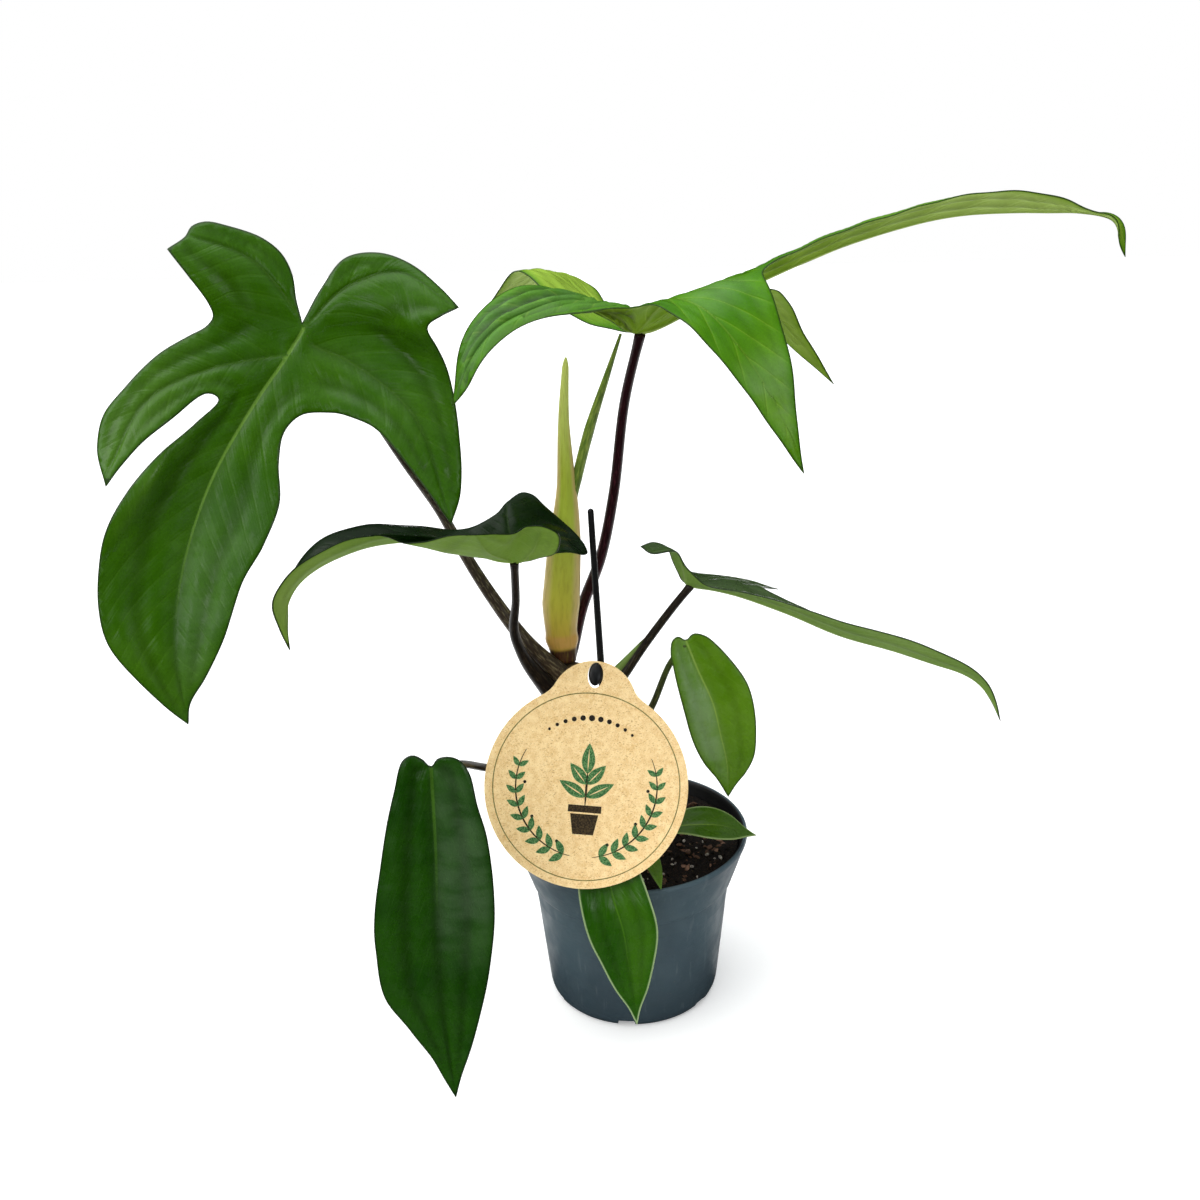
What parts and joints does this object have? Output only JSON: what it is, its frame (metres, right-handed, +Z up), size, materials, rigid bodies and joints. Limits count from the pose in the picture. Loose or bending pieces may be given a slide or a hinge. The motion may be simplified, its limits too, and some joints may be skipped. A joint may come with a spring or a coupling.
{
  "type": "potted philodendron plant",
  "caption": "Climbing aroid house plant with lobed leaves on long stalks, in a flared nursery pot with a round card tag on a stick.",
  "frame": {"origin": "centre of the pot's base, on the surface it stands on", "axes": "+Z up; -Y towards the side that the tag faces; +X towards the side where the highest leaf reaches out"},
  "size_m": [0.4631, 0.1724, 0.4259],
  "materials": {
    "pot": "thin moulded slate-blue plastic, soft satin",
    "soil": "damp dark peat with pale bark bits, rough",
    "stem": "brown woody stem with node rings, matt",
    "leaf_green": "deep green living leaf, satin above and paler below",
    "leaf_dark": "dark green living leaf, satin above and paler below",
    "leaf_bright": "bright green living leaf, satin above and paler below",
    "petiole_dark": "dark brown-olive leaf stalk, finely streaked",
    "petiole_purple": "dark maroon leaf stalk, satin",
    "sheath": "yellow-green leaf sheath, satin",
    "new_leaf": "olive green rolled leaf, satin",
    "card": null,
    "stick": "black plastic, faint sheen"
  },
  "bodies": {
    "root": {"pot": "pot", "soil": "soil", "stem": "stem", "sheath": "sheath", "new_leaf": "new_leaf", "petiole_left": "petiole_dark", "leaf_left": "leaf_green", "petiole_fold": "petiole_dark", "leaf_fold": "leaf_dark", "petiole_top": "petiole_purple", "leaf_top": "leaf_bright", "petiole_right": "petiole_dark", "leaf_right": "leaf_green", "petiole_oval": "petiole_dark", "leaf_oval": "leaf_bright", "petiole_low": "petiole_dark", "leaf_low": "leaf_dark", "petiole_front": "petiole_dark", "leaf_front": "leaf_green", "petiole_rim": "petiole_dark", "leaf_rim": "leaf_green", "petiole_sprout": "petiole_dark", "leaf_sprout": "leaf_bright", "tag": "card", "stick": "stick"}
  },
  "joints": []
}
